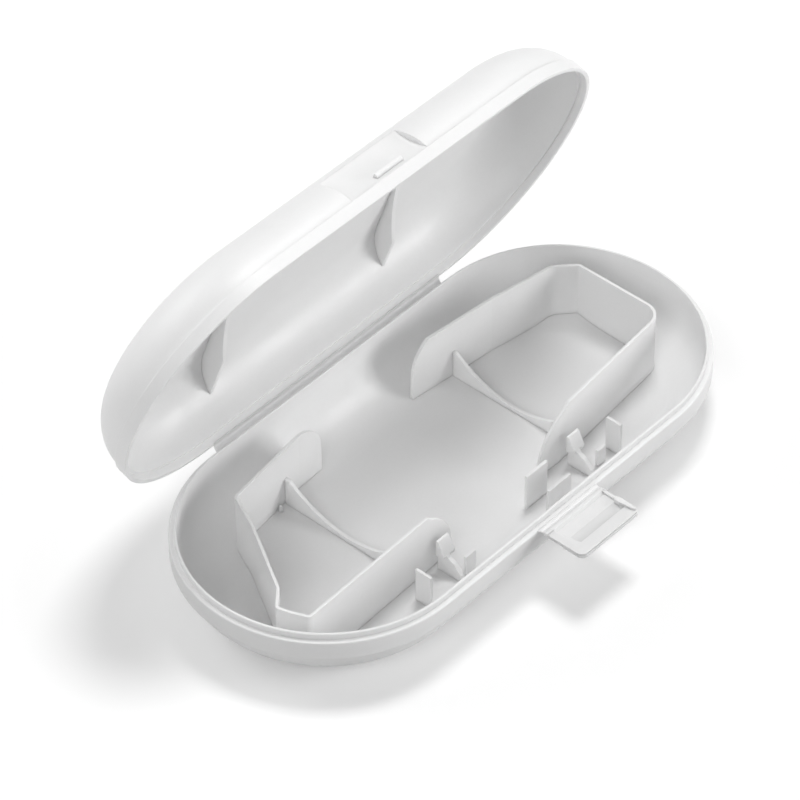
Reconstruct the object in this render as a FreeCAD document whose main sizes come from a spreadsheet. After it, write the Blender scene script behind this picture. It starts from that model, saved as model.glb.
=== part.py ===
import FreeCAD
import Part
import math
import os
import Sketcher

# Travel case for a water flosser: a stadium-shaped base tray with a lid on a film hinge and a snap tab.
# Millimetres, +Z up, origin in the middle of the flat underside, X along the case, the snap tab at -Y.
# The lid stands open as it does at rest; its own pieces are drawn about the hinge line and then turned.

doc = FreeCAD.newDocument("FlosserTravelCase")
sheet = doc.addObject("Spreadsheet::Sheet", "Sizes")
next_row = 1


class Size:
    """A length with its present value and the expression that drives it."""

    def __init__(self, value, text):
        self.value = float(value)
        self.text = text

    def __add__(self, other):
        other = as_size(other)
        return Size(self.value + other.value, "(%s + %s)" % (self.text, other.text))

    def __sub__(self, other):
        other = as_size(other)
        return Size(self.value - other.value, "(%s - %s)" % (self.text, other.text))

    def __mul__(self, other):
        other = as_size(other)
        return Size(self.value * other.value, "(%s * %s)" % (self.text, other.text))

    def __truediv__(self, other):
        other = as_size(other)
        return Size(self.value / other.value, "(%s / %s)" % (self.text, other.text))

    def __neg__(self):
        return Size(-self.value, "(0 - %s)" % self.text)

    def __radd__(self, other):
        return as_size(other) + self

    def __rsub__(self, other):
        return as_size(other) - self

    def __rmul__(self, other):
        return as_size(other) * self


def as_size(value):
    if isinstance(value, Size):
        return value
    return Size(value, "%.6g" % value if value >= 0 else "(0 - %.6g)" % -value)


def size(name, value):
    global next_row
    cell = "B%d" % next_row
    sheet.set("A%d" % next_row, name.replace("_", " "))
    sheet.set(cell, "%.6g" % value)
    sheet.setAlias(cell, name)
    next_row += 1
    return Size(value, "Sizes." + name)


# Case outline and base tray
case_length = size("case_length", 240.0)
case_width = size("case_width", 113.0)
base_height = size("base_height", 25.5)
band_height = size("band_height", 7.7)
band_step = size("band_step", 0.9)
floor_thickness = size("floor_thickness", 2.0)
overlap = size("overlap", 1.0)
wall_inset = size("wall_inset", 2.9)
bowl_radius = size("bowl_radius", 20.0)
lip_height = size("lip_height", 2.5)
lip_thickness = size("lip_thickness", 0.95)
edge_softness = size("edge_softness", 0.3)

# Lid
rim_gap = size("rim_gap", 0.3)
lid_depth = size("lid_depth", 25.0)
lid_skirt = size("lid_skirt", 5.0)
lid_step = size("lid_step", 0.8)
lid_wall = size("lid_wall", 2.0)
crown_radius = size("crown_radius", 20.0)
lip_clearance = size("lip_clearance", 0.35)
rebate_depth = size("rebate_depth", 3.0)
open_angle = size("open_angle", 70.7)

# Film hinge
hinge_offset = size("hinge_offset", 1.9)
hinge_length = size("hinge_length", 122.0)
film_thickness = size("film_thickness", 0.5)
film_slit = size("film_slit", 0.3)

# Cradles for the handle and the water tank
cradle_wall = size("cradle_wall", 1.1)
corner_radius = size("corner_radius", 2.2)
mouth = size("mouth", 24.0)
mouth_run = size("mouth_run", 4.0)
right_rear = case_width / 2 - size("right_rear_margin", 17.7)
right_end = case_length / 2 - size("right_end_margin", 18.9)
right_front = case_width / 2 - size("right_front_margin", 32.5)
right_bend = size("right_bend", 8.0)
left_rear = case_width / 2 - size("left_rear_margin", 17.8)
left_end = case_length / 2 - size("left_end_margin", 44.6)
left_front = case_width / 2 - size("left_front_margin", 29.9)

# Saddle ribs under the handle
rib_thickness = size("rib_thickness", 1.4)
right_rib_x = mouth + size("right_rib_step", 21.0)
left_rib_x = mouth + size("left_rib_step", 22.2)
saddle_radius = size("saddle_radius", 42.0)
saddle_centre = size("saddle_centre", 7.0)
saddle_floor_gap = size("saddle_floor_gap", 1.8)
rib_drop = size("rib_drop", 11.5)
rib_shelf = size("rib_shelf", 5.5)
rib_step_run = size("rib_step_run", 3.0)
rib_step_drop = size("rib_step_drop", 2.2)
rib_front_drop = size("rib_front_drop", 4.5)
rib_front_run = size("rib_front_run", 6.5)

# Lid saddle ribs
fin_thickness = size("fin_thickness", 1.6)
right_fin_x = size("right_fin_x", 43.8)
left_fin_x = size("left_fin_x", 49.0)
fin_radius = size("fin_radius", 100.0)
fin_rise = size("fin_rise", 14.6)
fin_shift = size("fin_shift", 2.5)
right_fin_top = size("right_fin_top", 22.2)
left_fin_top = size("left_fin_top", 19.6)

# Nozzle tip holders
plate_wall = size("plate_wall", 1.2)
clip_height = size("clip_height", 14.5)
clip_wall = size("clip_wall", 1.8)

# Latch recess and catch bead in the lid front
recess_right = size("recess_right", 19.0)
recess_left = size("recess_left", 20.0)
recess_sill = size("recess_sill", 5.4)
recess_top = size("recess_top", 19.6)
recess_foot = lid_step + size("recess_foot_depth", 0.1)
recess_head = size("recess_head", 7.2)
recess_bow = size("recess_bow", 43.0)
recess_backing = size("recess_backing", 1.6)
bead_length = size("bead_length", 13.5)
bead_centre = size("bead_centre", 1.8)
bead_low = size("bead_low", 6.8)
bead_high = size("bead_high", 8.8)
bead_set = size("bead_set", 0.8)
bead_lead = size("bead_lead", 0.9)

# Latch tab: distances out from its hinge line, heights above and below it
tab_offset = size("tab_offset", 1.4)
tab_centre = size("tab_centre", 0.9)
tab_length = size("tab_length", 31.0)
tab_axis_drop = size("tab_axis_drop", 0.7)
tab_root = size("tab_root", 0.9)
tab_root_end = size("tab_root_end", 2.5)
tab_floor_start = size("tab_floor_start", 3.6)
tab_floor_drop = size("tab_floor_drop", 0.2)
tab_ramp_start = size("tab_ramp_start", 8.8)
tab_pad_start = size("tab_pad_start", 13.7)
tab_pad_end = size("tab_pad_end", 18.6)
tab_reach = size("tab_reach", 18.9)
tab_thick_start = size("tab_thick_start", 9.8)
tab_thin = size("tab_thin", 0.7)
tab_thick = size("tab_thick", 1.2)
tab_ramp_drop = size("tab_ramp_drop", 0.9)
tab_ramp_inset = size("tab_ramp_inset", 5.2)
tab_land = size("tab_land", 3.4)
tab_left_round = size("tab_left_round", 2.8)
tab_right_round = size("tab_right_round", 1.4)
tab_film = size("tab_film", 0.4)
tab_slit = size("tab_slit", 0.8)
tab_film_inset = size("tab_film_inset", 0.5)
rail_step = size("rail_step", 9.0)
rail_end = size("rail_end", 17.8)
rail_high = size("rail_high", 1.5)
rail_root = size("rail_root", 1.3)
rail_broad = size("rail_broad", 2.2)
rail_tip = size("rail_tip", 0.3)

hinge_back = case_width / 2 + hinge_offset
hinge_rise = base_height + rim_gap / 2
rim = rim_gap / 2
tab_front = case_width / 2 + tab_offset
tab_axis_z = base_height - tab_axis_drop


def plane(body, role):
    for feature in body.Origin.OriginFeatures:
        if feature.Role == role:
            return feature
    raise RuntimeError("no plane " + role)


def body_named(name):
    body = doc.addObject("PartDesign::Body", name)
    body.Label = name
    return body


def new_sketch(body, name, role, height=None):
    """A sketch on one of the body's own planes, lifted along the plane's normal."""
    sketch = body.newObject("Sketcher::SketchObject", name)
    sketch.AttachmentSupport = [(plane(body, role), "")]
    sketch.MapMode = "FlatFace"
    if height is not None:
        height = as_size(height)
        sketch.AttachmentOffset = FreeCAD.Placement(FreeCAD.Vector(0, 0, height.value), FreeCAD.Rotation())
        sketch.setExpression("AttachmentOffset.Base.z", height.text)
    return sketch


def hold(sketch, kind, geometry, point, length):
    """Ties one point's distance from the origin to a size."""
    length = as_size(length)
    index = sketch.addConstraint(Sketcher.Constraint(kind, -1, 1, geometry, point, length.value))
    if "Sizes." in length.text:
        sketch.setExpression("Constraints[%d]" % index, length.text)


def outline(sketch, points, bends=None):
    """A closed outline through points held from the origin; a bend makes the side after its point an arc.

    A positive bend radius turns to the left as the outline is walked, a negative one to the right."""
    points = [(as_size(a), as_size(b)) for a, b in points]
    bends = bends or {}
    count = len(points)
    ends = []
    for i in range(count):
        start = FreeCAD.Vector(points[i][0].value, points[i][1].value, 0)
        following = points[(i + 1) % count]
        end = FreeCAD.Vector(following[0].value, following[1].value, 0)
        if i not in bends:
            sketch.addGeometry(Part.LineSegment(start, end), False)
            ends.append((1, 2))
            continue
        radius = bends[i].value
        chord = end - start
        across = FreeCAD.Vector(-chord.y, chord.x, 0)
        across.normalize()
        reach = math.sqrt(radius * radius - chord.Length * chord.Length / 4)
        centre = (start + end) * 0.5 + across * math.copysign(reach, radius)
        first, last = (start, end) if radius > 0 else (end, start)
        from_angle = math.atan2(first.y - centre.y, first.x - centre.x)
        to_angle = math.atan2(last.y - centre.y, last.x - centre.x)
        circle = Part.Circle(centre, FreeCAD.Vector(0, 0, 1), abs(radius))
        sketch.addGeometry(Part.ArcOfCircle(circle, from_angle, to_angle), False)
        ends.append((1, 2) if radius > 0 else (2, 1))
    for i in range(count):
        following = (i + 1) % count
        sketch.addConstraint(Sketcher.Constraint("Coincident", i, ends[i][1], following, ends[following][0]))
        hold(sketch, "DistanceX", i, ends[i][0], points[i][0])
        hold(sketch, "DistanceY", i, ends[i][0], points[i][1])
    for i, bend in bends.items():
        index = sketch.addConstraint(Sketcher.Constraint("Radius", i, abs(bend.value)))
        sketch.setExpression("Constraints[%d]" % index, "abs(%s)" % bend.text)


def stadium(sketch, inset, centre_y=0):
    """The case outline moved inwards: two long sides and two round ends."""
    inset = as_size(inset)
    centre_y = as_size(centre_y)
    radius = case_width / 2 - inset
    reach = case_length / 2 - case_width / 2
    r = radius.value
    h = reach.value
    cy = centre_y.value
    up = FreeCAD.Vector(0, 0, 1)
    half = math.pi / 2
    right = Part.ArcOfCircle(Part.Circle(FreeCAD.Vector(h, cy, 0), up, r), -half, half)
    left = Part.ArcOfCircle(Part.Circle(FreeCAD.Vector(-h, cy, 0), up, r), half, 3 * half)
    sketch.addGeometry(right, False)
    sketch.addGeometry(Part.LineSegment(FreeCAD.Vector(h, cy + r, 0), FreeCAD.Vector(-h, cy + r, 0)), False)
    sketch.addGeometry(left, False)
    sketch.addGeometry(Part.LineSegment(FreeCAD.Vector(-h, cy - r, 0), FreeCAD.Vector(h, cy - r, 0)), False)
    for i in range(4):
        sketch.addConstraint(Sketcher.Constraint("Tangent", i, 2, (i + 1) % 4, 1))
    hold(sketch, "DistanceX", 0, 3, reach)
    hold(sketch, "DistanceX", 2, 3, -reach)
    hold(sketch, "DistanceY", 0, 3, centre_y)
    hold(sketch, "DistanceY", 2, 3, centre_y)
    index = sketch.addConstraint(Sketcher.Constraint("Radius", 0, r))
    sketch.setExpression("Constraints[%d]" % index, radius.text)


def pad(body, name, sketch, length, both=False, down=False):
    length = as_size(length)
    feature = body.newObject("PartDesign::Pad", name)
    feature.Profile = sketch
    feature.Length = length.value
    feature.setExpression("Length", length.text)
    feature.Midplane = both
    feature.Reversed = down
    body.Tip = feature
    sketch.Visibility = False
    return feature


def pocket(body, name, sketch, length, both=False, down=False):
    length = as_size(length)
    feature = body.newObject("PartDesign::Pocket", name)
    feature.Profile = sketch
    feature.Length = length.value
    feature.setExpression("Length", length.text)
    feature.Midplane = both
    feature.Reversed = down
    body.Tip = feature
    doc.recompute()
    return feature


def soften(body, name, base, radius, chosen, chamfer=False):
    """Rounds or chamfers the edges of the last feature that pass the test."""
    doc.recompute()
    edges = ["Edge%d" % (i + 1) for i, edge in enumerate(base.Shape.Edges) if chosen(edge)]
    if not edges:
        raise RuntimeError("no edges for " + name)
    radius = as_size(radius)
    feature = body.newObject("PartDesign::Chamfer" if chamfer else "PartDesign::Fillet", name)
    feature.Base = (base, edges)
    what = "Size" if chamfer else "Radius"
    setattr(feature, what, radius.value)
    feature.setExpression(what, radius.text)
    body.Tip = feature
    doc.recompute()
    return feature


def level(z):
    """Picks edges that lie at one height."""
    z = as_size(z).value

    def chosen(edge):
        box = edge.BoundBox
        return abs(box.ZMin - z) < 1e-4 and abs(box.ZMax - z) < 1e-4

    return chosen


def upright_at(points, reach):
    """Picks upright edges near the given corners."""
    corners = [(as_size(a).value, as_size(b).value) for a, b in points]
    reach = as_size(reach).value

    def chosen(edge):
        box = edge.BoundBox
        if box.XLength > 1e-3 or box.YLength > 1e-3 or box.ZLength < 1e-3:
            return False
        return any(math.hypot(box.XMin - a, box.YMin - b) < reach for a, b in corners)

    return chosen


def cut(name, base, tool):
    item = doc.addObject("Part::Cut", name)
    item.Base = base
    item.Tool = tool
    item.Label = name
    return item


# The hollow of the base: one shape cuts the tray and trims all that stands in it
tray_hollow = body_named("tray_hollow")
sketch = new_sketch(tray_hollow, "HollowOutline", "XY_Plane", floor_thickness)
stadium(sketch, wall_inset)
hollow = pad(tray_hollow, "HollowPad", sketch, base_height + lip_height + overlap - floor_thickness)
soften(tray_hollow, "HollowBowl", hollow, bowl_radius, level(floor_thickness))

# Base tray: bowl, vertical band, ledge and raised lip
tray = body_named("tray_block")
sketch = new_sketch(tray, "BowlOutline", "XY_Plane")
stadium(sketch, band_step)
bowl = pad(tray, "BowlPad", sketch, base_height)
bowl = soften(tray, "BowlRound", bowl, bowl_radius + floor_thickness, level(0))
sketch = new_sketch(tray, "BandOutline", "XY_Plane", base_height - band_height)
stadium(sketch, 0)
band = pad(tray, "BandPad", sketch, band_height)
band = soften(tray, "BandEdges", band, edge_softness, level(base_height), chamfer=True)
sketch = new_sketch(tray, "LipOutline", "XY_Plane", base_height)
stadium(sketch, wall_inset - lip_thickness)
lip = pad(tray, "LipPad", sketch, lip_height)
soften(tray, "LipEdges", lip, edge_softness, level(base_height + lip_height), chamfer=True)
base_shell = cut("base_shell", tray, tray_hollow)

# The table of everything that is written: node name and document object
nodes = [("base_shell", base_shell)]


def in_tray(name, body):
    """Trims a standing piece to the bowl, so that its foot follows the bowl's curve."""
    common = doc.addObject("Part::Common", name)
    common.Base = body
    common.Tool = tray_hollow
    common.Label = name
    nodes.append((name, common))
    return common


def inset_corners(points, wall):
    """The same corners moved in by the wall, to the left of the walk."""
    out = []
    count = len(points)
    for i in range(count):
        ax, ay = points[i - 1][0].value, points[i - 1][1].value
        bx, by = points[i][0].value, points[i][1].value
        cx, cy = points[(i + 1) % count][0].value, points[(i + 1) % count][1].value
        ux, uy = bx - ax, by - ay
        vx, vy = cx - bx, cy - by
        ul = math.hypot(ux, uy)
        vl = math.hypot(vx, vy)
        n1x, n1y = -uy / ul, ux / ul
        n2x, n2y = -vy / vl, vx / vl
        k = 1 + n1x * n2x + n1y * n2y
        out.append((points[i][0] + wall * ((n1x + n2x) / k), points[i][1] + wall * ((n1y + n2y) / k)))
    return out


def cradle(name, corners, bends, rear_end, front_end, side):
    """A thin wall round one end of the tray, open towards the middle, with sloping wall ends.

    The bends give the radius at each corner that turns enough to show one."""
    corners = [(as_size(a), as_size(b)) for a, b in corners]
    block = body_named(name + "_block")
    sketch = new_sketch(block, name + "Outer", "XY_Plane")
    outline(sketch, corners)
    solid = pad(block, name + "Block", sketch, tray_top)
    inner_corners = inset_corners(corners, cradle_wall)
    # the inside runs out through the mouth
    for i in (0, 1):
        x, y = inner_corners[i]
        inner_corners[i] = (x - side * (cradle_wall + overlap), y)
    inside = body_named(name + "_inside")
    sketch = new_sketch(inside, name + "Inner", "XY_Plane")
    outline(sketch, inner_corners)
    room = pad(inside, name + "Room", sketch, tray_top + overlap)
    for i, radius in bends.items():
        solid = soften(block, "%sCorner%d" % (name, i), solid, radius, upright_at([corners[i]], overlap / 2))
        room = soften(inside, "%sRoomCorner%d" % (name, i), room, radius - cradle_wall,
                      upright_at([inner_corners[i]], overlap / 2))
    for end, label, down in ((rear_end, "Rear", True), (front_end, "Front", False)):
        points, arc = end
        sketch = new_sketch(block, name + label, "XZ_Plane")
        outline(sketch, points, arc)
        pocket(block, name + label + "End", sketch, case_width, down=down)
    wall = cut(name + "_wall", block, inside)
    return in_tray(name, wall), inside


def wall_end(side, foot, waist, waist_rise, crest, crest_rise, bend, top=None):
    """The part cut away from a wall's end: up the lean of its foot, over a round shoulder, to the top."""
    points = [
        (mouth - mouth_run - overlap, -overlap),
        (mouth + foot, -overlap),
        (mouth + waist, waist_rise),
        (mouth + crest, crest_rise),
    ]
    if top is not None:
        points.append((mouth + top, tray_top))
    points.append((points[-1][0], tray_top + overlap))
    points.append((mouth - mouth_run - overlap, tray_top + overlap))
    return [(side * x, y) for x, y in points], {2: -side * bend}


tray_top = base_height + lip_height

# Right cradle: straight rear wall, chamfered corner, end wall, rounded front corner, front wall
right_corners = [
    (mouth - mouth_run, right_rear + size("right_rear_flare", 0.9)),
    (mouth - mouth_run, -(right_front - size("right_front_tuck", 0.9))),
    (mouth + size("right_front_kink", 11.0), -right_front),
    (right_end, -(right_front - size("right_front_slant", 5.85))),
    (right_end, right_rear - size("right_end_drop", 16.2)),
    (right_end - size("right_corner_run", 7.5), right_rear - size("right_corner_drop", 8.5)),
    (mouth + size("right_rear_kink", 40.6), right_rear - size("right_rear_drop", 3.5)),
]
right_rear_end = wall_end(1, size("right_rear_foot", -2.1), size("right_rear_waist", 1.6),
                          size("right_rear_waist_rise", 12.0), size("right_rear_crest", 12.5),
                          base_height, size("right_rear_shoulder", 23.4), size("right_rear_top", 17.0))
right_front_end = wall_end(1, size("right_front_foot", 0.0), size("right_front_waist", 0.3),
                           size("right_front_waist_rise", 13.0), size("right_front_crest", 7.8),
                           tray_top, size("right_front_shoulder", 19.6))
right_bends = {3: right_bend, 4: corner_radius, 5: right_bend}
right_cradle, right_inside = cradle("right_cradle", right_corners, right_bends, right_rear_end,
                                    right_front_end, 1)

# Left cradle: rear wall, long slanting end wall, a jog towards the rim, short end wall, front wall
left_corners = [
    (-(mouth - mouth_run), -(left_front - size("left_front_tuck", 2.2))),
    (-(mouth - mouth_run), left_rear + size("left_rear_flare", 0.9)),
    (-(mouth + size("left_rear_kink", 14.0)), left_rear + size("left_rear_lift", 0.2)),
    (-left_end, left_rear - size("left_rear_drop", 4.3)),
    (-(left_end + size("left_slant_start", 6.5)), left_rear - size("left_slant_drop", 18.3)),
    (-(left_end + size("left_jog_start", 23.4)), -(left_front - size("left_jog_rise", 18.5))),
    (-(left_end + size("left_jog_end", 30.9)), -(left_front - size("left_jog_foot", 12.2))),
    (-(left_end + size("left_end_run", 29.3)), -(left_front - size("left_end_rise", 6.6))),
    (-(left_end + size("left_corner_run", 26.4)), -(left_front + size("left_corner_drop", 0.2))),
]
left_rear_end = wall_end(-1, size("left_rear_foot", -0.8), size("left_rear_waist", 1.6),
                         size("left_rear_waist_rise", 9.5), size("left_rear_crest", 11.5),
                         base_height, size("left_rear_shoulder", 20.0), size("left_rear_top", 14.5))
left_front_end = wall_end(-1, size("left_front_foot", 1.4), size("left_front_waist", 1.6),
                          size("left_front_waist_rise", 15.0), size("left_front_crest", 12.2),
                          tray_top, size("left_front_shoulder", 13.0))
left_bends = {i: corner_radius for i in (3, 4, 5, 6, 8)}
left_cradle, left_inside = cradle("left_cradle", left_corners, left_bends, left_rear_end, left_front_end, -1)


def saddle_rib(name, rib_x, rear_y, front_y, side, inside):
    """A rib across the inside of a cradle, hollowed to carry the round handle."""
    body = body_named(name + "_blank")
    low = floor_thickness + saddle_floor_gap
    sketch = new_sketch(body, name + "Profile", "YZ_Plane", side * rib_x - rib_thickness / 2)
    rise = base_height - rib_drop
    outline(sketch, [
        (-front_y, 0),
        (rear_y, 0),
        (rear_y, rise),
        (rear_y - rib_shelf, rise),
        (rear_y - rib_shelf - rib_step_run, rise - rib_step_drop),
        (-(front_y - rib_front_run), rise - rib_front_drop),
        (-front_y, rise - rib_step_drop),
    ])
    pad(body, name + "Pad", sketch, rib_thickness)
    sketch = new_sketch(body, name + "Saddle", "YZ_Plane", side * rib_x - rib_thickness)
    circle = Part.Circle(FreeCAD.Vector(saddle_centre.value, (low + saddle_radius).value, 0),
                         FreeCAD.Vector(0, 0, 1), saddle_radius.value)
    sketch.addGeometry(circle, False)
    hold(sketch, "DistanceX", 0, 3, saddle_centre)
    hold(sketch, "DistanceY", 0, 3, low + saddle_radius)
    index = sketch.addConstraint(Sketcher.Constraint("Radius", 0, saddle_radius.value))
    sketch.setExpression("Constraints[%d]" % index, saddle_radius.text)
    pocket(body, name + "Scoop", sketch, rib_thickness * 2, down=True)
    fitted = doc.addObject("Part::Common", name + "_fitted")
    fitted.Base = body
    fitted.Tool = inside
    in_tray(name, fitted)


saddle_rib("right_saddle_rib", right_rib_x, right_rear, right_front, 1, right_inside)
saddle_rib("left_saddle_rib", left_rib_x, left_rear, left_front, -1, left_inside)


def upright(name, corners, height):
    """A thin upright plate standing on the tray floor, drawn in plan."""
    body = body_named(name + "_blank")
    sketch = new_sketch(body, name + "Plan", "XY_Plane")
    outline(sketch, corners)
    pad(body, name + "Pad", sketch, floor_thickness + height)
    return in_tray(name, body)


def plate_along(name, x0, x1, y, height):
    return upright(name, [(x0, y - plate_wall / 2), (x1, y - plate_wall / 2),
                          (x1, y + plate_wall / 2), (x0, y + plate_wall / 2)], height)


def plate_across(name, x, y0, y1, height):
    return upright(name, [(x - plate_wall / 2, y0), (x + plate_wall / 2, y0),
                          (x + plate_wall / 2, y1), (x - plate_wall / 2, y1)], height)


# Holders for the spray tips, in front of the cradles
tip_row = case_width / 2 - size("tip_row_margin", 25.3)
tip_row_front = tip_row + size("tip_slot", 6.1)
tip_stop_front = tip_row + size("tip_stop_length", 7.1)
plate_along("right_tip_wall", size("right_tip_wall_x", 8.7), size("right_tip_wall_end", 20.0),
            -(tip_row - size("right_tip_wall_set", 0.7)), size("right_tip_wall_height", 16.0))
plate_along("right_tip_sill", size("right_tip_sill_x", 13.0), size("right_tip_sill_end", 25.3),
            -tip_row_front, size("right_tip_sill_height", 10.0))
plate_along("right_tip_stub", size("right_tip_stub_x", 42.5), size("right_tip_stub_end", 46.9),
            -(tip_row_front - size("right_tip_stub_set", 1.6)), size("right_tip_stub_height", 8.0))
plate_across("right_tip_stop", size("right_tip_stop_x", 53.0), -tip_stop_front,
             -(tip_row + size("right_tip_stop_set", 0.3)), size("right_tip_stop_height", 15.0))
plate_across("left_tip_stop", -size("left_tip_stop_x", 51.5), -tip_stop_front, -tip_row,
             size("left_tip_stop_height", 15.0))
plate_along("left_tip_sill", -size("left_tip_sill_x", 32.0), -size("left_tip_sill_end", 26.7),
            -(tip_row_front - size("left_tip_sill_set", 0.3)), size("left_tip_sill_height", 10.0))
clip_back_set = size("clip_back_set", 4.3)
clip_head_width = size("clip_head_width", 5.9)
clip_head_top = size("clip_head_top", 0.9)
clip_head_depth = size("clip_head_depth", 3.9)
clip_head_fall = size("clip_head_fall", 5.3)
clip_head_base = size("clip_head_base", 7.0)
clip_web_inset = size("clip_web_inset", 1.1)
clip_arm_start = size("clip_arm_start", 4.9)
clip_arm_rise = size("clip_arm_rise", 8.0)
clip_arm_bend = size("clip_arm_bend", 7.5)
clip_arm_bend_rise = size("clip_arm_bend_rise", 6.8)
clip_arm_end = size("clip_arm_end", 11.0)
clip_arm_end_rise = size("clip_arm_end_rise", 3.0)


def tip_clip(name, x):
    """A web that slopes down to the front, with a broad wedge-shaped head that holds a tip down."""
    body = body_named(name + "_blank")
    back = -(tip_row - clip_back_set)
    top = floor_thickness + clip_height
    sketch = new_sketch(body, name + "Web", "YZ_Plane", x + clip_web_inset)
    outline(sketch, [
        (back, 0),
        (back, top - clip_head_fall),
        (back - clip_head_depth, top - clip_head_fall),
        (back - clip_arm_start, floor_thickness + clip_arm_rise),
        (back - clip_arm_bend, floor_thickness + clip_arm_bend_rise),
        (back - clip_arm_end, floor_thickness + clip_arm_end_rise),
        (back - clip_arm_end, 0),
    ])
    pad(body, name + "WebPad", sketch, clip_wall)
    sketch = new_sketch(body, name + "Head", "YZ_Plane", x)
    outline(sketch, [
        (back, floor_thickness + clip_head_base),
        (back, top),
        (back - clip_head_top, top),
        (back - clip_head_depth, top - clip_head_fall),
        (back - clip_head_depth, floor_thickness + clip_arm_rise),
    ])
    pad(body, name + "HeadPad", sketch, clip_head_width)
    in_tray(name, body)


tip_clip("right_tip_clip", size("right_clip_x", 35.4))
tip_clip("left_tip_clip", -size("left_clip_x", 36.3))

# Small peg on the tray floor behind the left rib
peg = doc.addObject("Part::Cone", "peg_blank")
peg_radius = size("peg_radius", 0.9)
peg_height = size("peg_height", 2.6)
peg_x = size("peg_x", 51.0)
peg_y = case_width / 2 - size("peg_margin", 21.5)
peg.setExpression("Radius1", peg_radius.text)
peg.setExpression("Radius2", (peg_radius * 0.7).text)
peg.setExpression("Height", (floor_thickness + peg_height).text)
peg.setExpression("Placement.Base.x", (-peg_x).text)
peg.setExpression("Placement.Base.y", peg_y.text)
in_tray("floor_peg", peg)


def strip(name, x0, length, y0, width, z0, thickness):
    box = doc.addObject("Part::Box", name)
    box.Label = name
    length, width, thickness = as_size(length), as_size(width), as_size(thickness)
    x0, y0, z0 = as_size(x0), as_size(y0), as_size(z0)
    for field, value in (("Length", length), ("Width", width), ("Height", thickness)):
        setattr(box, field, value.value)
        box.setExpression(field, value.text)
    box.Placement = FreeCAD.Placement(FreeCAD.Vector(x0.value, y0.value, z0.value), FreeCAD.Rotation())
    for axis, value in (("x", x0), ("y", y0), ("z", z0)):
        box.setExpression("Placement.Base." + axis, value.text)
    return box


# Film hinge: a strip on the tray and one on the lid, with the fold between them
base_film = strip("base_hinge_strip", -hinge_length / 2, hinge_length, case_width / 2,
                  hinge_offset - film_slit / 2, base_height - edge_softness - film_thickness, film_thickness)
nodes.append(("base_hinge_strip", base_film))

# Lid, drawn closed about the hinge line: the rim faces down and the crown up
lid_centre = -hinge_back
lid_block = body_named("lid_block")
sketch = new_sketch(lid_block, "CrownOutline", "XY_Plane", rim)
stadium(sketch, lid_step, lid_centre)
crown = pad(lid_block, "CrownPad", sketch, lid_depth)
crown = soften(lid_block, "CrownRound", crown, crown_radius, level(rim + lid_depth))
sketch = new_sketch(lid_block, "SkirtOutline", "XY_Plane", rim)
stadium(sketch, 0, lid_centre)
pad(lid_block, "SkirtPad", sketch, lid_skirt)

# The front of the lid is backed from inside where the latch recess sinks in
def front_profile(extra):
    """Recess section, seen from the end: y from the hinge line, z from the closed rim."""
    front = -(hinge_back + case_width / 2)
    low = rim + recess_sill - extra
    high = rim + recess_top
    points = [
        (front - overlap, low),
        (front + recess_foot + extra, low),
        (front + recess_head + extra, high),
        (front - overlap, high),
    ]
    return points, {1: recess_bow + extra}


hollow_lid = body_named("lid_hollow_blank")
sketch = new_sketch(hollow_lid, "LidHollowOutline", "XY_Plane", rim - overlap)
stadium(sketch, lid_step + lid_wall, lid_centre)
deep = pad(hollow_lid, "LidHollowPad", sketch, lid_depth - lid_wall + overlap)
deep = soften(hollow_lid, "LidHollowRound", deep, crown_radius - lid_wall, level(rim + lid_depth - lid_wall))
backing = body_named("recess_backing_blank")
sketch = new_sketch(backing, "BackingSection", "YZ_Plane", -recess_left - recess_backing)
outline(sketch, *front_profile(recess_backing))
pad(backing, "BackingPad", sketch, recess_left + recess_right + recess_backing * 2)
lid_hollow = doc.addObject("Part::Cut", "lid_hollow")
lid_hollow.Base = hollow_lid
lid_hollow.Tool = backing
recess = body_named("recess_blank")
sketch = new_sketch(recess, "RecessSection", "YZ_Plane", -recess_left)
outline(sketch, *front_profile(as_size(0)))
pad(recess, "RecessPad", sketch, recess_left + recess_right)
rebate = body_named("rebate_blank")
sketch = new_sketch(rebate, "RebateOutline", "XY_Plane", rim - overlap)
stadium(sketch, wall_inset - lip_thickness - lip_clearance, lid_centre)
pad(rebate, "RebatePad", sketch, rebate_depth + overlap)


def on_lid(item):
    """Turns a piece drawn about the hinge line to the angle at which the lid stands open."""
    item.Placement = FreeCAD.Placement(
        FreeCAD.Vector(0, hinge_back.value, hinge_rise.value),
        FreeCAD.Rotation(FreeCAD.Vector(1, 0, 0), -open_angle.value))
    item.setExpression("Placement.Base.y", hinge_back.text)
    item.setExpression("Placement.Base.z", hinge_rise.text)
    item.setExpression("Placement.Rotation.Angle", "0 - Sizes.open_angle")
    nodes.append((item.Label, item))


shell = cut("lid_shell_solid", lid_block, lid_hollow)
shell = cut("lid_shell_rebated", shell, rebate)
lid_shell = cut("lid_shell", shell, recess)
on_lid(lid_shell)


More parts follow.
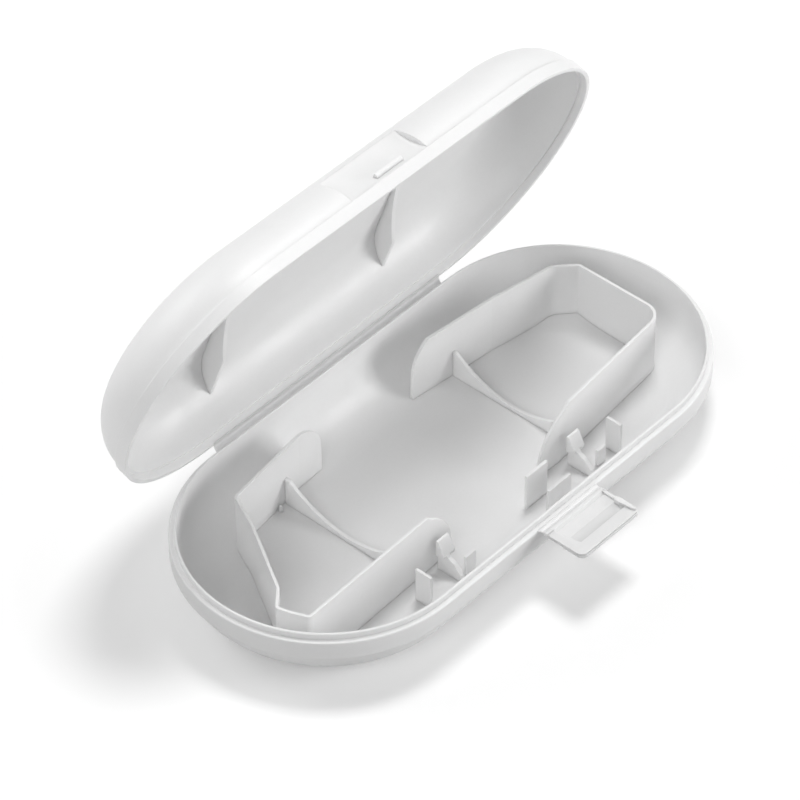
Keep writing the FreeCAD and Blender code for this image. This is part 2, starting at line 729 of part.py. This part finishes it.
def lid_rib(name, rib_x, crest, side):
    """A hollowed rib under the lid's ceiling that holds the handle down."""
    body = body_named(name + "_blank")
    top = rim + lid_depth
    middle = lid_centre - fin_shift
    foot = rim + fin_rise
    sketch = new_sketch(body, name + "Profile", "YZ_Plane", side * rib_x - fin_thickness / 2)
    outline(sketch, [
        (lid_centre - case_width / 2, foot),
        (lid_centre + case_width / 2, foot),
        (lid_centre + case_width / 2, top),
        (lid_centre - case_width / 2, top),
    ])
    pad(body, name + "Pad", sketch, fin_thickness)
    sketch = new_sketch(body, name + "Saddle", "YZ_Plane", side * rib_x - fin_thickness)
    circle = Part.Circle(FreeCAD.Vector(middle.value, (rim + crest - fin_radius).value, 0),
                         FreeCAD.Vector(0, 0, 1), fin_radius.value)
    sketch.addGeometry(circle, False)
    hold(sketch, "DistanceX", 0, 3, middle)
    hold(sketch, "DistanceY", 0, 3, rim + crest - fin_radius)
    index = sketch.addConstraint(Sketcher.Constraint("Radius", 0, fin_radius.value))
    sketch.setExpression("Constraints[%d]" % index, fin_radius.text)
    pocket(body, name + "Scoop", sketch, fin_thickness * 2, down=True)
    common = doc.addObject("Part::Common", name)
    common.Base = body
    common.Tool = lid_hollow
    common.Label = name
    on_lid(common)
    return common


lid_rib("lid_right_rib", right_fin_x, right_fin_top, 1)
lid_rib("lid_left_rib", left_fin_x, left_fin_top, -1)

# Catch bead on the recess floor
bead = body_named("bead_blank")
sketch = new_sketch(bead, "BeadSection", "YZ_Plane", bead_centre - bead_length / 2)
lid_front = -(hinge_back + case_width / 2)
outline(sketch, [
    (lid_front + bead_set, rim + bead_low + bead_lead),
    (lid_front + bead_set + bead_lead, rim + bead_low),
    (lid_front + recess_head, rim + bead_low),
    (lid_front + recess_head, rim + bead_high),
    (lid_front + bead_set, rim + bead_high),
])
pad(bead, "BeadPad", sketch, bead_length)
catch_bead = doc.addObject("Part::Common", "catch_bead")
catch_bead.Base = bead
catch_bead.Tool = recess
catch_bead.Label = "catch_bead"
on_lid(catch_bead)

# The lid's side of the film hinge, flush with the rim
lid_film = body_named("lid_hinge_strip")
sketch = new_sketch(lid_film, "LidStripSection", "YZ_Plane", -hinge_length / 2)
outline(sketch, [
    (-hinge_offset, rim),
    (-film_slit / 2, rim),
    (-film_slit / 2, rim + film_thickness),
    (-hinge_offset, rim + film_thickness),
])
pad(lid_film, "LidStripPad", sketch, hinge_length)
on_lid(lid_film)


# Latch tab, drawn level about its own film hinge and reaching out to -Y
tab_left = tab_centre - tab_length / 2
tab_right = tab_centre + tab_length / 2
tab_top = tab_axis_drop


def at_tab(item):
    """Moves a blank drawn about the tab's hinge line to its place at the front of the tray."""
    item.Placement = FreeCAD.Placement(
        FreeCAD.Vector(0, -tab_front.value, tab_axis_z.value), FreeCAD.Rotation())
    item.setExpression("Placement.Base.y", (-tab_front).text)
    item.setExpression("Placement.Base.z", tab_axis_z.text)


latch_tab = body_named("latch_tab")
sketch = new_sketch(latch_tab, "TabSection", "YZ_Plane", tab_left)
outline(sketch, [
    (-tab_root, tab_top),
    (-tab_root_end, tab_top),
    (-tab_floor_start, -tab_floor_drop),
    (-tab_reach, -tab_floor_drop),
    (-tab_reach, -tab_thick),
    (-tab_thick_start, -tab_thick),
    (-tab_thick_start, -tab_thin),
    (-tab_root, -tab_thin),
])
plate = pad(latch_tab, "TabPad", sketch, tab_length)
plate = soften(latch_tab, "TabLeftCorner", plate, tab_left_round,
               upright_at([(tab_left, -tab_reach)], overlap / 2))
plate = soften(latch_tab, "TabRightCorner", plate, tab_right_round,
               upright_at([(tab_right, -tab_reach)], overlap / 2))
sketch = new_sketch(latch_tab, "RampSection", "YZ_Plane", tab_left + tab_ramp_inset)
outline(sketch, [
    (-tab_ramp_start, -tab_floor_drop),
    (-tab_ramp_start, overlap),
    (-tab_pad_start, overlap),
    (-tab_pad_start, -tab_ramp_drop),
])
pocket(latch_tab, "Ramp", sketch, tab_length - tab_ramp_inset - rail_broad, down=True)
nodes.append(("latch_tab", latch_tab))

# Rail down the right side of the tab, wider and taller beside the raised end
rail = body_named("rail_blank")
sketch = new_sketch(rail, "RailPlan", "XY_Plane", -tab_floor_drop)
outline(sketch, [
    (tab_right, -tab_root_end),
    (tab_right, -rail_step),
    (tab_right - rail_tip, -rail_end),
    (tab_right - rail_tip - rail_root, -(rail_end - rail_root)),
    (tab_right - rail_broad, -(rail_step + rail_broad)),
    (tab_right - rail_broad, -rail_step),
    (tab_right - rail_root, -rail_step),
    (tab_right - rail_root, -tab_root_end),
], {2: -rail_root})
pad(rail, "RailPad", sketch, rail_high + tab_floor_drop)
sketch = new_sketch(rail, "RailLowPlan", "XY_Plane", rail_high)
outline(sketch, [
    (tab_right - rail_broad - overlap, -rail_step),
    (tab_right + overlap, -rail_step),
    (tab_right + overlap, 0),
    (tab_right - rail_broad - overlap, 0),
])
pocket(rail, "RailLow", sketch, rail_high - tab_top)

# Raised outer end of the tab: a bar across it and a land down its left side
raised = body_named("raised_end_blank")
sketch = new_sketch(raised, "RaisedPlan", "XY_Plane", -tab_floor_drop)
outline(sketch, [
    (tab_left, -tab_root_end),
    (tab_left, -tab_pad_end),
    (tab_right, -tab_pad_end),
    (tab_right, -tab_pad_start),
    (tab_left + tab_ramp_inset, -tab_pad_start),
    (tab_left + tab_land, -tab_ramp_start),
    (tab_left + tab_land, -tab_root_end),
])
end_bar = pad(raised, "RaisedPad", sketch, tab_top + tab_floor_drop)
end_bar = soften(raised, "RaisedLeftCorner", end_bar, tab_left_round,
                 upright_at([(tab_left, -tab_pad_end)], overlap / 2))
soften(raised, "RaisedRightCorner", end_bar, tab_right_round,
       upright_at([(tab_right, -tab_pad_end)], overlap / 2))
for item in (latch_tab, rail, raised):
    at_tab(item)
side_rail = cut("tab_side_rail", rail, latch_tab)
beside_rail = cut("raised_end_beside_rail", raised, rail)
catch_pad = cut("tab_catch_pad", beside_rail, latch_tab)
nodes.append(("tab_side_rail", side_rail))
nodes.append(("tab_catch_pad", catch_pad))

# Film hinge of the tab: half on the tray's band, half on the tab
tray_tab_film = strip("tray_tab_strip", tab_left + tab_film_inset, tab_length - tab_film_inset * 2,
                      -(tab_front - tab_slit / 2), tab_offset - tab_slit / 2,
                      tab_axis_z - tab_film / 2, tab_film)
nodes.append(("tray_tab_strip", tray_tab_film))
tab_film_half = strip("tab_hinge_strip", tab_left + tab_film_inset, tab_length - tab_film_inset * 2,
                      -(tab_front + tab_root), tab_root - tab_slit / 2,
                      tab_axis_z - tab_film / 2, tab_film)
nodes.append(("tab_hinge_strip", tab_film_half))

doc.recompute()
problems = []
for item in doc.Objects:
    if "Invalid" in item.State or "Error" in item.State:
        problems.append("%s is %s" % (item.Name, item.State))
for name, item in nodes:
    if item.Shape.isNull() or not item.Shape.isValid():
        problems.append(name + " has no sound shape")
    if len(item.Shape.Solids) != 1:
        problems.append("%s has %d solids" % (name, len(item.Shape.Solids)))
    print("%-20s %9.1f" % (name, item.Shape.Volume))
if problems:
    raise RuntimeError("; ".join(problems))

os.makedirs("parts", exist_ok=True)
for name, item in nodes:
    item.Shape.exportStep(os.path.join("parts", name + ".step"))
print(len(nodes), "pieces written")
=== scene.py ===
import math
import bpy
from mathutils import Matrix, Vector
from mathutils.geometry import interpolate_bezier


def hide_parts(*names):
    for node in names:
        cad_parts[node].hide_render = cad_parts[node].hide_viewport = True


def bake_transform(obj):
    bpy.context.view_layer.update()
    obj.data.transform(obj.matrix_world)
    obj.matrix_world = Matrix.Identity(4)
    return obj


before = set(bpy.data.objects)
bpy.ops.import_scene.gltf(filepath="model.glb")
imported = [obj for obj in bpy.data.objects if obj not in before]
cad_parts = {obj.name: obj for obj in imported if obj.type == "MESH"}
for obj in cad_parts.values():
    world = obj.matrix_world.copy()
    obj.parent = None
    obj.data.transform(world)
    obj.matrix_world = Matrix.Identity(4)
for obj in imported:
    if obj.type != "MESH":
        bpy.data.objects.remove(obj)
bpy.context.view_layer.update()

mm = 0.001

# Camera: the photograph's viewpoint
camera_azimuth = math.radians(-48.59)
camera_elevation = math.radians(43.65)
camera_distance = 1.637
aim_height = 0.0255
lens_mm = 203.9
sensor_mm = 36.0
shift_right = -0.0583
shift_up = 0.0443

# Soft boxes: where each hangs, its side in metres and its power in watts
lamp_distance = 1.6
lamps = {
    "overhead": ((0.287, 0.14, 1.0), 0.45, 11.3),
    "left": ((-0.75, -0.3, 0.6), 0.9, 7.8),
    "low_front": ((0.6, -0.75, 0.3), 0.7, 13.8),
    "rear": ((-0.2, 0.8, 0.6), 0.9, 7.5),
}
room_light = 0.18

# Floor: how much of its white is its own and how much is the lamps' light, as the camera sees it
floor_half_side = 6.0
floor_white = 0.66
floor_seen_white = 0.85
floor_glow = 0.16

# Base painted light and shade: half the straight length of its walls in metres, and how much its inner walls are
# lightened as painted light and its outer walls and floor darkened as painted shade
base_straight_half = 0.0635
inner_wall_painted_light = 1.08
outer_wall_painted_shade = 0.90
floor_painted_shade = 0.96

# Tab painted shade: the tone to which its steps and ramp are darkened as painted shade
tab_step_painted_shade = 0.84

# Lid hinge web, (y, z) of its front in millimetres at rest: from the base's rear edge up to the lid's rim, then
# over the rim to its inner corner
lid_web_half_length = 61.0
lid_web_at_base = (56.3, 25.35)
lid_web_at_rim = (57.65, 27.4)
lid_web_at_corner = (57.24, 29.38)
lid_web_pull_back = (0.7, 0.1)
lid_web_pull_down = (0.05, -0.6)
lid_web_base_thick = 0.45
lid_web_rim_thick = 0.32
lid_web_corner_thick = 0.06

# Tab hinge web, in millimetres at rest: flush with the ledge, with a crease over the hinge line
tab_web_left = -14.6
tab_web_right = 16.4
tab_web_at_case = -56.25
tab_web_at_tab = -58.8
tab_web_axis = -57.9
tab_web_top = 25.4
tab_web_under = 24.6
tab_web_crease = 0.10
tab_web_groove = 0.12
tab_web_crease_half = 0.5
tab_web_flare = 1.2
tab_web_flare_run = 1.4

# Both webs: their ends are rounded over this length, in millimetres, down to this share of their thickness
web_end_run = 0.15
web_end_share = 0.5
web_rows = 24


def make_camera():
    data = bpy.data.cameras.new("view")
    data.lens = lens_mm
    data.sensor_width = sensor_mm
    data.sensor_height = sensor_mm
    data.sensor_fit = "HORIZONTAL"
    data.shift_x = shift_right
    data.shift_y = shift_up
    data.clip_end = 20.0
    camera = bpy.data.objects.new("view", data)
    bpy.context.scene.collection.objects.link(camera)
    level = math.cos(camera_elevation)
    back = Vector((math.sin(camera_azimuth) * level, -math.cos(camera_azimuth) * level, math.sin(camera_elevation)))
    right = Vector((math.cos(camera_azimuth), math.sin(camera_azimuth), 0.0))
    up = back.cross(right)
    turn = Matrix((right, up, back)).transposed().to_4x4()
    camera.matrix_world = Matrix.Translation(Vector((0.0, 0.0, aim_height)) + back * camera_distance) @ turn
    bpy.context.scene.camera = camera


def soft_box(name, towards, side, power):
    """A square lamp that hangs in the given direction and faces the case."""
    data = bpy.data.lights.new(name, "AREA")
    data.shape = "SQUARE"
    data.size = side
    data.energy = power
    lamp = bpy.data.objects.new(name, data)
    bpy.context.scene.collection.objects.link(lamp)
    direction = Vector(towards).normalized()
    lamp.location = direction * lamp_distance
    lamp.rotation_euler = direction.to_track_quat("Z", "Y").to_euler()


def seen_directly(tree):
    """1 for rays that show the surroundings themselves: from the camera, in a gloss or through something clear."""
    path = tree.nodes.new("ShaderNodeLightPath")
    first = tree.nodes.new("ShaderNodeMath")
    first.operation = "MAXIMUM"
    tree.links.new(path.outputs["Is Camera Ray"], first.inputs[0])
    tree.links.new(path.outputs["Is Glossy Ray"], first.inputs[1])
    both = tree.nodes.new("ShaderNodeMath")
    both.operation = "MAXIMUM"
    tree.links.new(first.outputs[0], both.inputs[0])
    tree.links.new(path.outputs["Is Transmission Ray"], both.inputs[1])
    return both.outputs[0]


def make_world():
    """A dim room that lights the case softly and shows as white."""
    world = bpy.data.worlds.new("studio")
    world.use_nodes = True
    tree = world.node_tree
    room = tree.nodes["Background"]
    room.inputs["Color"].default_value = (1.0, 1.0, 1.0, 1.0)
    room.inputs["Strength"].default_value = room_light
    backdrop = tree.nodes.new("ShaderNodeBackground")
    backdrop.inputs["Color"].default_value = (1.0, 1.0, 1.0, 1.0)
    backdrop.inputs["Strength"].default_value = 1.0
    mix = tree.nodes.new("ShaderNodeMixShader")
    tree.links.new(seen_directly(tree), mix.inputs[0])
    tree.links.new(room.outputs[0], mix.inputs[1])
    tree.links.new(backdrop.outputs[0], mix.inputs[2])
    tree.links.new(mix.outputs[0], tree.nodes["World Output"].inputs["Surface"])
    bpy.context.scene.world = world


def floor_paint():
    """A white sweep that keeps the case's shadow and is just white where no shadow falls."""
    material = bpy.data.materials.new("floor")
    material.use_nodes = True
    tree = material.node_tree
    tree.nodes.remove(tree.nodes["Principled BSDF"])
    plain = tree.nodes.new("ShaderNodeBsdfDiffuse")
    plain.inputs["Color"].default_value = (floor_white, floor_white, floor_white, 1.0)
    lit = tree.nodes.new("ShaderNodeBsdfDiffuse")
    lit.inputs["Color"].default_value = (floor_seen_white, floor_seen_white, floor_seen_white, 1.0)
    glow = tree.nodes.new("ShaderNodeEmission")
    glow.inputs["Strength"].default_value = floor_glow
    seen = tree.nodes.new("ShaderNodeAddShader")
    tree.links.new(lit.outputs[0], seen.inputs[0])
    tree.links.new(glow.outputs[0], seen.inputs[1])
    mix = tree.nodes.new("ShaderNodeMixShader")
    tree.links.new(seen_directly(tree), mix.inputs[0])
    tree.links.new(plain.outputs[0], mix.inputs[1])
    tree.links.new(seen.outputs[0], mix.inputs[2])
    tree.links.new(mix.outputs[0], tree.nodes["Material Output"].inputs["Surface"])
    return material


def make_floor():
    side = floor_half_side
    mesh = bpy.data.meshes.new("floor")
    mesh.from_pydata([(-side, -side, 0.0), (side, -side, 0.0), (side, side, 0.0), (-side, side, 0.0)], [], [(0, 1, 2, 3)])
    floor = bpy.data.objects.new("floor", mesh)
    bpy.context.scene.collection.objects.link(floor)
    mesh.materials.append(floor_paint())


def noise(tree, place, scale, detail, stretch=(1.0, 1.0, 1.0)):
    """Even noise from 0 to 1 over the moulding, with features about 1/scale metres across."""
    mapping = tree.nodes.new("ShaderNodeMapping")
    mapping.inputs["Scale"].default_value = stretch
    tree.links.new(place, mapping.inputs["Vector"])
    texture = tree.nodes.new("ShaderNodeTexNoise")
    texture.inputs["Scale"].default_value = scale
    texture.inputs["Detail"].default_value = detail
    tree.links.new(mapping.outputs["Vector"], texture.inputs["Vector"])
    return texture.outputs["Fac"]


def spread(tree, value, from_low, from_high, to_low, to_high):
    """The value stretched from one range to another and held within it."""
    ramp = tree.nodes.new("ShaderNodeMapRange")
    ramp.inputs["From Min"].default_value = from_low
    ramp.inputs["From Max"].default_value = from_high
    ramp.inputs["To Min"].default_value = to_low
    ramp.inputs["To Max"].default_value = to_high
    tree.links.new(value, ramp.inputs["Value"])
    return ramp.outputs["Result"]


def combine(tree, operation, first, second):
    node = tree.nodes.new("ShaderNodeMath")
    node.operation = operation
    tree.links.new(first, node.inputs[0])
    tree.links.new(second, node.inputs[1])
    return node.outputs[0]


def bump(tree, height, depth, normal):
    node = tree.nodes.new("ShaderNodeBump")
    node.inputs["Strength"].default_value = 1.0
    node.inputs["Distance"].default_value = depth
    tree.links.new(height, node.inputs["Height"])
    tree.links.new(normal, node.inputs["Normal"])
    return node.outputs["Normal"]


def edge_wear_and_highlight(tree, radius):
    """The rounded normal of a softened edge, and a mask that is 1 along it; the mask drives the edge's polish and its
    painted highlight.
    """
    bevel = tree.nodes.new("ShaderNodeBevel")
    bevel.samples = 4
    bevel.inputs["Radius"].default_value = radius
    surface = tree.nodes.new("ShaderNodeNewGeometry")
    dot = tree.nodes.new("ShaderNodeVectorMath")
    dot.operation = "DOT_PRODUCT"
    tree.links.new(bevel.outputs["Normal"], dot.inputs[0])
    tree.links.new(surface.outputs["Normal"], dot.inputs[1])
    return bevel.outputs["Normal"], spread(tree, dot.outputs["Value"], 0.98, 0.80, 0.0, 1.0)


def moulded(name, tone, roughness, edge_radius, grain_depth, painted_light_and_shade=None):
    """White moulded plastic: cloudy where it cooled unevenly, finely grained, scuffed, polished along its edges, and
    lightened along them as a painted highlight.
    """
    material = bpy.data.materials.new(name)
    material.use_nodes = True
    tree = material.node_tree
    shader = tree.nodes["Principled BSDF"]
    place = tree.nodes.new("ShaderNodeTexCoord").outputs["Object"]
    shader.inputs["Subsurface Weight"].default_value = 0.5
    shader.inputs["Subsurface Radius"].default_value = (1.0, 1.0, 1.0)
    shader.inputs["Subsurface Scale"].default_value = 2.5 * mm
    edge_normal, edge = edge_wear_and_highlight(tree, edge_radius)

    cloud = spread(tree, noise(tree, place, 16.0, 3.0), 0.35, 0.65, tone * 0.975, tone)
    speck = spread(tree, noise(tree, place, 900.0, 2.0), 0.3, 0.7, 0.988, 1.0)
    # painted highlight: the colour is lightened by up to 5% along softened edges
    edge_painted_highlight = spread(tree, edge, 0.0, 1.0, 1.0, 1.05)
    shade = combine(tree, "MULTIPLY", combine(tree, "MULTIPLY", cloud, speck), edge_painted_highlight)
    # an optional painted light and shade multiplier on the colour
    if painted_light_and_shade:
        shade = combine(tree, "MULTIPLY", shade, painted_light_and_shade(tree))
    colour = tree.nodes.new("ShaderNodeCombineColor")
    for channel in ("Red", "Green", "Blue"):
        tree.links.new(shade, colour.inputs[channel])
    tree.links.new(colour.outputs["Color"], shader.inputs["Base Color"])

    haze = spread(tree, noise(tree, place, 60.0, 3.0), 0.3, 0.7, roughness - 0.04, roughness + 0.05)
    scuffs = spread(tree, noise(tree, place, 420.0, 2.0, (0.08, 1.0, 1.0)), 0.62, 0.72, 0.0, 0.08)
    polish = spread(tree, edge, 0.0, 1.0, 0.0, -0.08)
    gloss = combine(tree, "ADD", combine(tree, "ADD", haze, scuffs), polish)
    tree.links.new(gloss, shader.inputs["Roughness"])

    sink = bump(tree, noise(tree, place, 30.0, 1.0), 0.12 * mm, edge_normal)
    grain = bump(tree, noise(tree, place, 2600.0, 2.0), grain_depth, sink)
    tree.links.new(grain, shader.inputs["Normal"])
    return material


def painted_base_light_and_shade(tree):
    """The base's outer wall is darkened as painted shade, its inner wall is lightened as painted light, and it is
    darker towards its floor as painted shade.
    """
    place = tree.nodes.new("ShaderNodeTexCoord")
    parts = tree.nodes.new("ShaderNodeSeparateXYZ")
    tree.links.new(place.outputs["Object"], parts.inputs[0])
    spine = tree.nodes.new("ShaderNodeCombineXYZ")
    half = base_straight_half
    tree.links.new(spread(tree, parts.outputs["X"], -half, half, -half, half), spine.inputs["X"])
    tree.links.new(parts.outputs["Z"], spine.inputs["Z"])
    away = tree.nodes.new("ShaderNodeVectorMath")
    away.operation = "SUBTRACT"
    tree.links.new(place.outputs["Object"], away.inputs[0])
    tree.links.new(spine.outputs[0], away.inputs[1])
    outward = tree.nodes.new("ShaderNodeVectorMath")
    outward.operation = "NORMALIZE"
    tree.links.new(away.outputs[0], outward.inputs[0])
    facing = tree.nodes.new("ShaderNodeVectorMath")
    facing.operation = "DOT_PRODUCT"
    tree.links.new(outward.outputs[0], facing.inputs[0])
    tree.links.new(place.outputs["Normal"], facing.inputs[1])
    # painted light on inner walls and painted shade on outer walls, by which way the surface faces from the spine
    inner = spread(tree, facing.outputs["Value"], -1.0, 0.0, inner_wall_painted_light, 1.0)
    outer = spread(tree, facing.outputs["Value"], 0.0, 1.0, 1.0, outer_wall_painted_shade)
    # painted shade: darker towards the bottom, below 9 mm
    floor_shade = spread(tree, parts.outputs["Z"], 3.0 * mm, 9.0 * mm, floor_painted_shade, 1.0)
    return combine(tree, "MULTIPLY", combine(tree, "MULTIPLY", inner, outer), floor_shade)


def base_white():
    return moulded("base_white", 0.82, 0.42, 0.5 * mm, 0.02 * mm, painted_base_light_and_shade)


def lid_white():
    return moulded("lid_white", 0.81, 0.42, 0.5 * mm, 0.02 * mm)


def insert_white():
    return moulded("insert_white", 0.82, 0.45, 0.3 * mm, 0.02 * mm)


def painted_step_shade(tree):
    """The tab's steps and ramp are darkened as painted shade, while its flats keep their tone."""
    place = tree.nodes.new("ShaderNodeTexCoord")
    parts = tree.nodes.new("ShaderNodeSeparateXYZ")
    tree.links.new(place.outputs["Normal"], parts.inputs[0])
    lean = tree.nodes.new("ShaderNodeMath")
    lean.operation = "ABSOLUTE"
    tree.links.new(parts.outputs["Y"], lean.inputs[0])
    # painted shade on surfaces that lean towards or away from Y
    return spread(tree, lean.outputs[0], 0.03, 0.13, 1.0, tab_step_painted_shade)


def tab_white():
    return moulded("tab_white", 0.83, 0.38, 0.25 * mm, 0.012 * mm, painted_step_shade)


def film_white():
    """Thin sheet, flexed often enough to shine, and lighter than the other mouldings as painted light on the hinge
    strips, which lie in shade.
    """
    # tone 0.93 is painted light that brightens the shaded hinge strips
    return moulded("film_white", 0.93, 0.33, 0.1 * mm, 0.008 * mm)


def web(name, rows):
    """A thin strip along X. Each row across it is (left end, right end, (y, z) above, (y, z) below), in millimetres."""
    points = []
    for from_end, share in ((0.0, web_end_share), (web_end_run, 1.0), (-web_end_run, 1.0), (-0.0, web_end_share)):
        at_right = math.copysign(1.0, from_end) < 0
        above = []
        below = []
        for left, right, upper, lower in rows:
            x = (right if at_right else left) + from_end
            middle = Vector(upper).lerp(Vector(lower), 0.5)
            above.append((x, *middle.lerp(Vector(upper), share)))
            below.append((x, *middle.lerp(Vector(lower), share)))
        points += above + below[::-1]
    around = 2 * len(rows)
    faces = []
    for ring in range(3):
        for k in range(around):
            a = ring * around + k
            b = ring * around + (k + 1) % around
            faces.append((a, a + around, b + around, b))
    last = 3 * around
    for k in range(len(rows) - 1):
        faces.append((k, k + 1, around - 2 - k, around - 1 - k))
        faces.append((last + k + 1, last + k, last + around - 1 - k, last + around - 2 - k))
    mesh = bpy.data.meshes.new(name)
    mesh.from_pydata([Vector(p) * mm for p in points], [], faces)
    mesh.shade_smooth()
    mesh.set_sharp_from_angle(angle=math.radians(40.0))
    piece = bpy.data.objects.new(name, mesh)
    bpy.context.scene.collection.objects.link(piece)
    return piece


def lid_web():
    """The ribbon on which the lid turns: it leaves the base flat, curves up to the lid and thins out over its rim."""
    base = Vector(lid_web_at_base)
    rim = Vector(lid_web_at_rim)
    corner = Vector(lid_web_at_corner)
    bend = interpolate_bezier(base, base + Vector(lid_web_pull_back), rim + Vector(lid_web_pull_down), rim, web_rows)
    line = [*bend, rim.lerp(corner, 0.5), corner]
    rows = []
    for k, point in enumerate(line):
        ahead = line[min(k + 1, len(line) - 1)] - line[max(k - 1, 0)]
        behind = Vector((ahead.y, -ahead.x)).normalized()
        if k < web_rows:
            thick = lid_web_base_thick + (lid_web_rim_thick - lid_web_base_thick) * k / (web_rows - 1)
        else:
            thick = lid_web_rim_thick + (lid_web_corner_thick - lid_web_rim_thick) * (k - web_rows + 1) / 2
        rows.append((-lid_web_half_length, lid_web_half_length, point, point + behind * thick))
    piece = web("lid_hinge_web", rows)
    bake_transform(piece)
    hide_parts("base_hinge_strip", "lid_hinge_strip")
    return piece


def tab_web():
    """The short web on which the latch tab turns: it flares into the case and is creased over the hinge line."""
    rows = []
    for k in range(web_rows + 1):
        y = tab_web_at_case + (tab_web_at_tab - tab_web_at_case) * k / web_rows
        near = max(0.0, 1.0 - abs(y - tab_web_axis) / tab_web_crease_half)
        dip = near * near * (3.0 - 2.0 * near)
        flare = tab_web_flare * max(0.0, 1.0 - (tab_web_at_case - y) / tab_web_flare_run) ** 2
        upper = (y, tab_web_top - tab_web_crease * dip)
        lower = (y, tab_web_under + tab_web_groove * dip)
        rows.append((tab_web_left - flare, tab_web_right + flare, lower, upper))
    piece = web("tab_hinge_web", rows)
    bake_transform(piece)
    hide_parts("tray_tab_strip", "tab_hinge_strip")
    return piece


bpy.context.scene.view_settings.view_transform = "Standard"
make_camera()
make_world()
make_floor()
for lamp, (towards, side, power) in lamps.items():
    soft_box(lamp, towards, side, power)

finishes = {
    "white_shell": lid_white(),
    "white_insert": insert_white(),
    "white_tab": tab_white(),
    "white_film": film_white(),
}
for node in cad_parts.values():
    node.data.materials[0] = finishes[node.data.materials[0].name]
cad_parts["base_shell"].data.materials[0] = base_white()
for piece in (lid_web(), tab_web()):
    piece.data.materials.append(finishes["white_film"])
